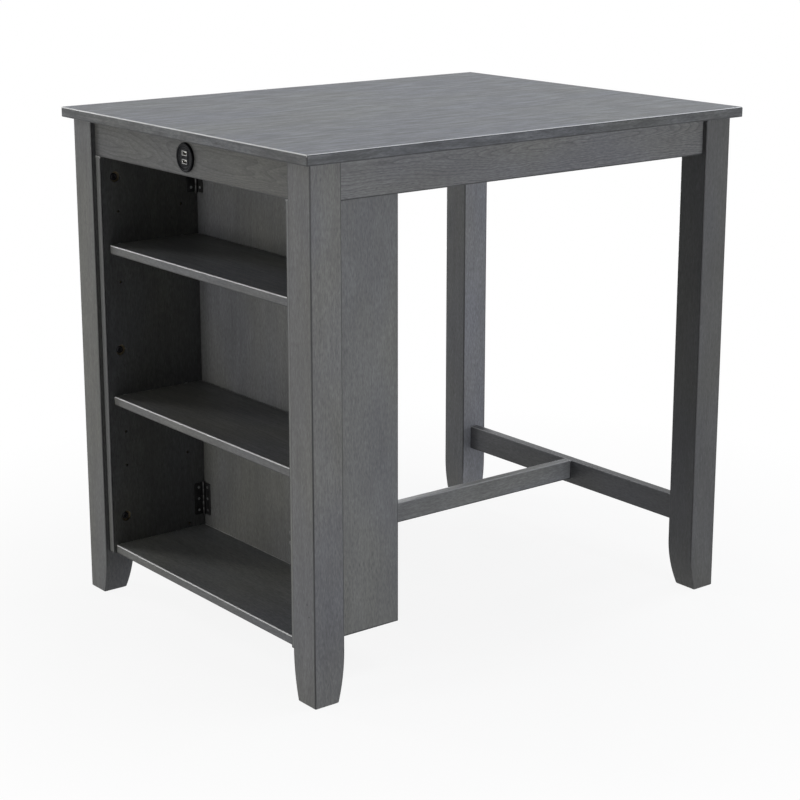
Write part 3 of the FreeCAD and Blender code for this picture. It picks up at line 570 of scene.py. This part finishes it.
# what each fitting is made of; the outlet's front parts are modelled and finished below
fittings = (
    (zincPlatedSteel, [
        "corner_bracket_cabinet_left", "corner_bracket_cabinet_right",
        "corner_bracket_far_left", "corner_bracket_far_right",
        "bracket_screws", "hanger_bolts", "hanger_washers", "hanger_nuts",
        "top_angles", "top_angle_screws", "middle_shelf_supports", "top_shelf_supports",
        "shelf_cam_bolts", "stretcher_cam_bolts", "stretcher_screws", "hinge_screws",
    ]),
    (blackOxideSteel, ["panel_bolts"]),
    (dieCastZinc, ["leg_inserts", "shelf_cams", "stretcher_cams"]),
    (mouldedAbs, ["outlet_nut", "outlet_back_cap"]),
    (filledNylon, ["usb_tongues"]),
    (glassEpoxy, ["outlet_board"]),
    (turnedBeech, ["apron_dowels", "shelf_dowels", "stretcher_dowels"]),
    (powderCoatedSteel, [name for name in nodes if "_hinge_" in name]),
)
for material, names in fittings:
    for name in names:
        finishWith(nodes[name], material)
print("fittings finished")


# Detail pieces: the outlet's rim, disc, sockets and contacts are modelled here, and the
# pressed and moulded fittings get the rounded edges that a press or a mould leaves.

def takeOver(piece, node):
    # the piece stands for a CAD node of the frame body
    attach(piece, "frame")
    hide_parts(node)


def settle(thing):
    # place, turn and size go into the mesh
    pickOnly(thing)
    bpy.ops.object.transform_apply(location=True, rotation=True, scale=True)


def turned(name, profile, centre, sides=96):
    # a closed ring or disc turned round an axis along X; the profile is (x, radius) pairs
    deselectAll()
    x, radius = profile[0]
    bpy.ops.mesh.primitive_circle_add(
        vertices=sides, radius=radius, location=(x, centre[1], centre[2]), rotation=(0, math.pi / 2, 0)
    )
    thing = bpy.context.object
    thing.name = name
    bpy.ops.object.mode_set(mode="EDIT")
    bpy.ops.mesh.select_mode(type="EDGE")
    bpy.ops.mesh.select_all(action="SELECT")
    for nextX, nextRadius in profile[1:]:
        bpy.ops.mesh.extrude_edges_move(TRANSFORM_OT_translate={"value": (nextX - x, 0, 0)})
        scale = nextRadius / radius
        middle = (nextX, centre[1], centre[2])
        bpy.ops.transform.resize(value=(1, scale, scale), center_override=middle)
        x, radius = nextX, nextRadius
    bpy.ops.mesh.select_all(action="DESELECT")
    bpy.ops.mesh.select_non_manifold(extend=False)
    bpy.ops.mesh.bridge_edge_loops()
    bpy.ops.mesh.select_all(action="SELECT")
    bpy.ops.mesh.remove_doubles(threshold=mergeReach)
    bpy.ops.mesh.normals_make_consistent(inside=False)
    bpy.ops.object.mode_set(mode="OBJECT")
    settle(thing)
    return thing


def boxAt(name, low, high):
    # a primitive at its size and place, as a start
    deselectAll()
    centre = [(a + b) / 2 for a, b in zip(low, high)]
    size = [b - a for a, b in zip(low, high)]
    bpy.ops.mesh.primitive_cube_add(size=1, location=centre, scale=size)
    thing = bpy.context.object
    thing.name = name
    settle(thing)
    return thing


def addModifier(thing, kind, settings):
    pickOnly(thing)
    modifier = thing.modifiers.new("shape", kind)
    for name, value in settings.items():
        setattr(modifier, name, value)
    bpy.ops.object.modifier_apply(modifier="shape")


def combine(thing, operation, other):
    # joins another shape on, or cuts it out, and removes it
    addModifier(thing, "BOOLEAN", {"operation": operation, "solver": "EXACT", "object": other})
    bpy.data.objects.remove(other)


edgeRounding = {
    "segments": 2,
    "limit_method": "ANGLE",
    "angle_limit": math.radians(40),
    "use_clamp_overlap": True,
}
smoothAngle = math.radians(30)
flatAngle = math.radians(2)
forwardShare = 0.9               # of a normal's length, along the way that it looks


def roundEdges(thing, width):
    addModifier(thing, "BEVEL", {"width": width, **edgeRounding})
    pickOnly(thing)
    bpy.ops.object.shade_smooth_by_angle(angle=smoothAngle)


def clearSelection(kind):
    # nothing is selected in edit mode, and the mesh's parts can then be picked
    bpy.ops.object.mode_set(mode="EDIT")
    bpy.ops.mesh.select_mode(type=kind)
    bpy.ops.mesh.select_all(action="DESELECT")
    bpy.ops.object.mode_set(mode="OBJECT")


def selectFaces(thing, wanted):
    # in edit mode, selects the faces for which wanted(centre, normal) is true
    clearSelection("FACE")
    for face in thing.data.polygons:
        face.select = bool(wanted(face.center, face.normal))
    bpy.ops.object.mode_set(mode="EDIT")


def selectEdges(thing, wanted):
    # in edit mode, selects the edges for which wanted(start, end) is true
    clearSelection("EDGE")
    points = thing.data.vertices
    for edge in thing.data.edges:
        start, end = edge.vertices
        edge.select = bool(wanted(points[start].co, points[end].co))
    bpy.ops.object.mode_set(mode="EDIT")


def looksForward(at, normal):
    # a face that looks out of the cabinet's end, along -X
    return normal[0] < -forwardShare


# the outlet's places come from its CAD pieces
rimLow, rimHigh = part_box("outlet_bezel")
discLow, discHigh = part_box("outlet_face")
shellsLow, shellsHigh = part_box("usb_shells")
outletCentre = [(a + b) / 2 for a, b in zip(rimLow, rimHigh)]

rimLook = {
    "front": rimLow[0],
    "apronFace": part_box("cabinet_end_apron")[0][0],
    "barrelEnd": rimHigh[0],
    "radius": (rimHigh[1] - rimLow[1]) / 2,
    "dishRadius": 20.5 * mm,
    "boreRadius": 20.0 * mm,
    "barrelRadius": 22.2 * mm,
    # millimetres behind the front, and outside the dish's radius or inside the rim's
    "dished": ((0.5, 0.25), (0.15, 0.55), (0, 1.0)),
    "rolled": ((0, 2.1), (0.12, 1.25), (0.5, 0.65), (1.1, 0.22), (1.9, 0.03), (2.4, 0)),
    "smoothAngle": math.radians(35),
}


def makeRim(look, disc):
    # a rolled outer edge, a flat land, then a dished inner edge down to the bore
    front = look["front"]
    apron = look["apronFace"]
    end = look["barrelEnd"]
    outer = look["radius"]
    dish = look["dishRadius"]
    bore = look["boreRadius"]
    barrel = look["barrelRadius"]
    inside = [
        (end, bore), (disc + 0.1 * mm, bore), (disc - 0.1 * mm, bore + 0.1 * mm),
        (disc - 0.3 * mm, dish - 0.1 * mm),
    ]
    dished = [(front + back * mm, dish + out * mm) for back, out in look["dished"]]
    rolled = [(front + back * mm, outer - inward * mm) for back, inward in look["rolled"]]
    behind = [
        (apron - 0.35 * mm, outer), (apron - 0.05 * mm, outer - 0.3 * mm),
        (apron, outer - 0.6 * mm), (apron, barrel + 0.1 * mm), (apron + 0.1 * mm, barrel),
        (end - 0.3 * mm, barrel), (end, barrel - 0.3 * mm),
    ]
    rim = turned("outletRim", inside + dished + rolled + behind, outletCentre)
    bpy.ops.object.shade_smooth_by_angle(angle=look["smoothAngle"])
    finishWith(rim, mouldedAbs)
    takeOver(rim, "outlet_bezel")


discLook = {
    "front": discLow[0],
    "back": discHigh[0],
    "radius": 19.9 * mm,
    "fieldRadius": 16.8 * mm,
    "pinRadius": 0.4 * mm,         # of the hole that turning leaves in the middle
    # millimetres behind the front, and inside the disc's radius or outside the field's
    "rounded": ((0.35, 0), (0.1, 0.12), (0, 0.4)),
    "stepped": ((0, 0.9), (0.08, 0.6), (0.42, 0.1), (0.5, -0.4)),
    "hollowDepth": (0.62 * mm, 0.66 * mm),
    "hollowShare": 0.6,            # of the field's radius, where the first depth is reached
    "edgeRadius": 0.15 * mm,
    "padSize": (21.0 * mm, 27.0 * mm),
    "padSink": 0.1 * mm,
    "padCorner": 3.5 * mm,
    "padCornerSegments": 6,
    "padShoulder": 0.5 * mm,
    "padRise": 0.2 * mm,
}


def makeDisc(look):
    # a shallow step round a field, and in the field a raised pad that the sockets stand in
    front = look["front"]
    back = look["back"]
    outer = look["radius"]
    field = look["fieldRadius"]
    pin = look["pinRadius"]
    behind = [(back, pin), (back, outer - 0.3 * mm), (back - 0.3 * mm, outer)]
    rounded = [(front + deep * mm, outer - inward * mm) for deep, inward in look["rounded"]]
    stepped = [(front + deep * mm, field + out * mm) for deep, out in look["stepped"]]
    first, last = look["hollowDepth"]
    hollow = [(front + first, field * look["hollowShare"]), (front + last, pin)]
    disc = turned("outletDisc", behind + rounded + stepped + hollow, outletCentre)
    closePin(disc, pin + hair)

    wide, tall = look["padSize"]
    middle = outletCentre[2]
    pad = boxAt(
        "pad",
        (front + look["padSink"], -wide / 2, middle - tall / 2),
        (back - look["padRise"], wide / 2, middle + tall / 2),
    )
    # the four edges that run along X become the pad's round corners
    selectEdges(pad, lambda start, end: abs(start[0] - end[0]) > 1 * mm)
    segments = look["padCornerSegments"]
    bpy.ops.mesh.bevel(offset=look["padCorner"], segments=segments, affect="EDGES")
    bpy.ops.object.mode_set(mode="OBJECT")
    selectFaces(pad, looksForward)
    bpy.ops.mesh.inset(thickness=look["padShoulder"])
    bpy.ops.transform.translate(value=(-look["padRise"], 0, 0))
    bpy.ops.object.mode_set(mode="OBJECT")
    combine(disc, "UNION", pad)
    return disc


def closePin(disc, reach):
    # the hole that turning leaves in the middle is closed on each side
    middle = outletCentre[2]
    selectFaces(disc, lambda at, normal: math.hypot(at[1], at[2] - middle) < reach)
    bpy.ops.mesh.delete(type="FACE")
    bpy.ops.mesh.select_mode(type="EDGE")
    bpy.ops.mesh.select_non_manifold(extend=False)
    bpy.ops.mesh.fill_holes(sides=0)
    bpy.ops.mesh.select_all(action="SELECT")
    bpy.ops.mesh.normals_make_consistent(inside=False)
    bpy.ops.object.mode_set(mode="OBJECT")


socketLook = {
    "front": shellsLow[0],
    "back": shellsHigh[0],
    "wide": shellsHigh[1] - shellsLow[1],
    "tall": 6.6 * mm,
    "wall": 0.5 * mm,
    "lip": 0.75 * mm,
    "lipThickness": 0.15 * mm,
    "edgeRadius": 0.12 * mm,
    "gap": 0.05 * mm,              # round a socket in its window
    "beyond": 1 * mm,              # how far a window is cut past the disc
}


def cutWindow(disc, look, z):
    wide = look["wide"] / 2 + look["gap"]
    tall = look["tall"] / 2 + look["gap"]
    combine(disc, "DIFFERENCE", boxAt(
        "window",
        (rimLook["front"], -wide, z - tall),
        (discLook["back"] + look["beyond"], wide, z + tall),
    ))


def makeSocket(look, z):
    # a box of folded sheet, open in front, with its mouth flared over the pad
    front = look["front"]
    wide = look["wide"]
    tall = look["tall"]
    lip = look["lip"]
    shell = boxAt("socket", (front, -wide / 2, z - tall / 2), (look["back"], wide / 2, z + tall / 2))
    selectFaces(shell, looksForward)
    bpy.ops.mesh.inset(thickness=look["wall"])
    inward = look["back"] - front - look["wall"]
    bpy.ops.mesh.extrude_region_move(TRANSFORM_OT_translate={"value": (inward, 0, 0)})
    bpy.ops.object.mode_set(mode="OBJECT")

    # the flare: the front ring's outer edge is drawn out into a lip
    selectFaces(shell, lambda at, normal: looksForward(at, normal) and at[0] < front + hair)
    outward = -look["lipThickness"]
    bpy.ops.mesh.extrude_region_move(TRANSFORM_OT_translate={"value": (outward, 0, 0)})
    bpy.ops.transform.resize(
        value=(1, (wide + 2 * lip) / wide, (tall + 2 * lip) / tall), center_override=(front, 0, z)
    )
    bpy.ops.object.mode_set(mode="OBJECT")
    roundEdges(shell, look["edgeRadius"])
    return shell


contactLook = {
    "places": (-1.5, -0.5, 0.5, 1.5),      # in pitches from the socket's middle
    "pitch": 2.5 * mm,
    "width": 1.0 * mm,
    "inset": 4.3 * mm,                     # from the socket's front
    "drop": 0.12 * mm,
    "rise": 0.01 * mm,
    "tipInset": 0.02 * mm,
    "tipMove": (-0.3 * mm, 0, 0.03 * mm),
}


def makeContact(look, place, z):
    # a strip of plated bronze under the tongue, with a tip drawn forward and up
    y = place * look["pitch"]
    half = look["width"] / 2
    strip = boxAt(
        "contact",
        (socketLook["front"] + look["inset"], y - half, z - look["drop"]),
        (socketLook["back"] - socketLook["wall"], y + half, z + look["rise"]),
    )
    selectFaces(strip, looksForward)
    bpy.ops.mesh.inset(thickness=look["tipInset"])
    bpy.ops.transform.translate(value=look["tipMove"])
    bpy.ops.object.mode_set(mode="OBJECT")
    return strip


def joined(name, things, material):
    deselectAll()
    for thing in things:
        thing.select_set(True)
    bpy.context.view_layer.objects.active = things[0]
    bpy.ops.object.join()
    things[0].name = name
    finishWith(things[0], material)
    return things[0]


def makeOutlet():
    makeRim(rimLook, discLook["front"])
    disc = makeDisc(discLook)
    shells = []
    contacts = []
    half = socketLook["tall"] / 2
    for z in (shellsLow[2] + half, shellsHigh[2] - half):
        cutWindow(disc, socketLook, z)
        shells.append(makeSocket(socketLook, z))
        contacts += [makeContact(contactLook, place, z) for place in contactLook["places"]]
    roundEdges(disc, discLook["edgeRadius"])
    finishWith(disc, mouldedAbs)
    takeOver(disc, "outlet_face")
    takeOver(joined("socketShells", shells, nickelPlatedSteel), "usb_shells")
    strips = joined("socketContacts", contacts, goldPlatedBronze)
    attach(strips, "frame")


def softened(node, name, width):
    # a fitting's own shape and material, with its edges rounded as its press, mould or
    # tumbling leaves them
    thing = bpy.data.objects.new(name, nodes[node].data.copy())
    bpy.context.scene.collection.objects.link(thing)
    pickOnly(thing)
    bpy.ops.object.mode_set(mode="EDIT")
    bpy.ops.mesh.select_all(action="SELECT")
    bpy.ops.mesh.remove_doubles(threshold=mergeReach)
    bpy.ops.mesh.dissolve_limited(angle_limit=flatAngle)
    bpy.ops.object.mode_set(mode="OBJECT")
    roundEdges(thing, width)
    takeOver(thing, node)


# node: new name, edge radius, slot
pressed = {
    "panel_bolts": ("panelBolts", 0.25 * mm, "zinc_steel"),
    "hinge_screws": ("hingeScrews", 0.10 * mm, "zinc_steel"),
    "top_angles": ("topAngles", 0.35 * mm, "zinc_steel"),
    "hanger_washers": ("hangerWashers", 0.15 * mm, "zinc_steel"),
    "hanger_nuts": ("hangerNuts", 0.25 * mm, "zinc_steel"),
    "outlet_nut": ("outletNut", 0.35 * mm, "black_plastic"),
    "outlet_back_cap": ("outletBackCap", 0.4 * mm, "black_plastic"),
}
for end in ("cabinet", "far"):
    for side in ("left", "right"):
        place = end + "_" + side
        pressed["corner_bracket_" + place] = ("cornerBracket_" + place, 0.4 * mm, "zinc_steel")
for level in ("upper", "lower"):
    for side in ("left", "right"):
        for part, label in (("_side_leaf", "SideLeaf_"), ("_back_leaf", "BackLeaf_"), ("_pin", "Pin_")):
            name = level + "Hinge" + label + side
            pressed[level + "_hinge_" + side + part] = (name, 0.2 * mm, "black_steel")

makeOutlet()
print("outlet modelled")
for node, (name, width, slotName) in pressed.items():
    softened(node, name, width)
print("fittings softened")


# Stage: a pale floor and a white surround. Rays from the camera, and those mirrored or
# passed on to it, see near white; the light that the floor gives back stays plain.

stageLook = {
    "floorSize": 40.0,
    "floorColour": "e8e8e8",
    "white": "ffffff",
    "shadowShare": 0.12,
    "shadowReach": (0.35, 1.3),     # metres from the middle: full shadow, no shadow
    "ambient": 0.03,
}


def seenShare(tree):
    # 1 for a ray from the camera and for one mirrored or passed on to it, otherwise 0
    path = addNode(tree, "LightPath", output=None)
    rays = (path["Is Camera Ray"], path["Is Glossy Ray"])
    seen = addNode(tree, "Math", rays, operation="MAXIMUM")
    return addNode(tree, "Math", (seen, path["Is Transmission Ray"]), operation="MAXIMUM")


def makeFloor(look):
    deselectAll()
    bpy.ops.mesh.primitive_plane_add(size=look["floorSize"], location=(0, 0, 0))
    floor = bpy.context.object
    floor.name = "floor"
    material = bpy.data.materials.new("paintedFloor")
    tree = startTree(material)
    matt = addNode(tree, "BsdfDiffuse", {"Color": look["floorColour"]})
    white = addNode(tree, "Emission", {"Color": look["white"], "Strength": 1.0})
    place = addNode(tree, "TexCoord", output="Object")
    away = addNode(tree, "VectorMath", (place,), output="Value", operation="LENGTH")
    limits = (*look["shadowReach"], 1 - look["shadowShare"], 1.0)
    glow = addNode(tree, "MapRange", (away, *limits))
    share = addNode(tree, "Math", (seenShare(tree), glow), operation="MULTIPLY")
    mix = addNode(tree, "MixShader", (share, matt, white))
    addNode(tree, "OutputMaterial", (mix,), output=None)
    finishWith(floor, material)


def makeSurround(look):
    world = bpy.data.worlds.new("surround")
    bpy.context.scene.world = world
    tree = startTree(world)
    strength = addNode(tree, "MapRange", (seenShare(tree), 0.0, 1.0, look["ambient"], 1.0))
    background = addNode(tree, "Background", {"Color": look["white"], "Strength": strength})
    addNode(tree, "OutputWorld", (background,), output=None)


makeFloor(stageLook)
makeSurround(stageLook)
print("stage made")


# Soft boxes: a low one before the cabinet, a high one beyond its left side that lights the
# right half inside it, one along the near side, one overhead, one beyond the far end, and a
# low one beyond the far side.

softBoxes = {
    "cabinetBox": {
        "at": (-3.2, 0.45, 0.60), "towards": (-0.4, 0.0, 0.5),
        "size": 0.85, "watts": 30, "colour": "fffdf7",
    },
    "windowBox": {
        "at": (-1.6, 2.7, 2.0), "towards": (-0.4, -0.1, 0.5),
        "size": 0.80, "watts": 24, "colour": "fdfdff",
    },
    "sideBox": {
        "at": (0.05, -3.35, 0.55), "towards": (0.0, 0.0, 0.5),
        "size": 0.80, "watts": 42, "colour": "fafbff",
    },
    "overheadBox": {
        "at": (0.5, -0.7, 3.0), "towards": (0.0, 0.0, 0.8),
        "size": 1.00, "watts": 27, "colour": "f8faff",
    },
    "endBox": {
        "at": (2.9, -0.3, 0.9), "towards": (0.3, 0.1, 0.5),
        "size": 0.90, "watts": 31, "colour": "f6f8ff",
    },
    "farSideBox": {
        "at": (1.9, 3.1, 0.42), "towards": (0.0, 0.0, 0.45),
        "size": 0.80, "watts": 50, "colour": "fbfcff",
    },
}


def aim(thing, start, target):
    # puts a lamp at a place and turns it to look at another
    direction = [b - a for a, b in zip(start, target)]
    flat = math.hypot(direction[0], direction[1])
    thing.location = start
    thing.rotation_euler = (math.atan2(flat, -direction[2]), 0, math.atan2(-direction[0], direction[1]))


for name, box in softBoxes.items():
    lamp = bpy.data.lights.new(name, "AREA")
    lamp.shape = "SQUARE"
    lamp.size = box["size"]
    lamp.energy = box["watts"]
    lamp.color = toLinear(box["colour"])[:3]
    holder = bpy.data.objects.new(name, lamp)
    bpy.context.scene.collection.objects.link(holder)
    aim(holder, box["at"], box["towards"])
print("lights placed")


cameraPlace = {
    "at": (-2.203, -2.799, 1.349),
    "headingRadians": 0.905,       # from +X towards +Y
    "pitchDegrees": 14.03,
    "rise": -0.06,                 # a little lens shift, which keeps the legs nearer upright
    "focalPixels": 1977,
    "imagePixels": 800,
    "sensor": 36.0,
    "clip": (0.05, 60),
}


def makeCamera(place):
    camera = bpy.data.cameras.new("camera")
    camera.sensor_width = place["sensor"]
    camera.lens = place["focalPixels"] * place["sensor"] / place["imagePixels"]
    camera.shift_y = place["rise"]
    camera.clip_start, camera.clip_end = place["clip"]
    camera.dof.use_dof = False
    holder = bpy.data.objects.new("camera", camera)
    bpy.context.scene.collection.objects.link(holder)
    holder.location = place["at"]
    tilt = math.pi / 2 - math.radians(place["pitchDegrees"])
    holder.rotation_euler = (tilt, 0, place["headingRadians"] - math.pi / 2)
    bpy.context.scene.camera = holder


makeCamera(cameraPlace)
bpy.context.scene.view_settings.view_transform = "Standard"
print("camera placed")
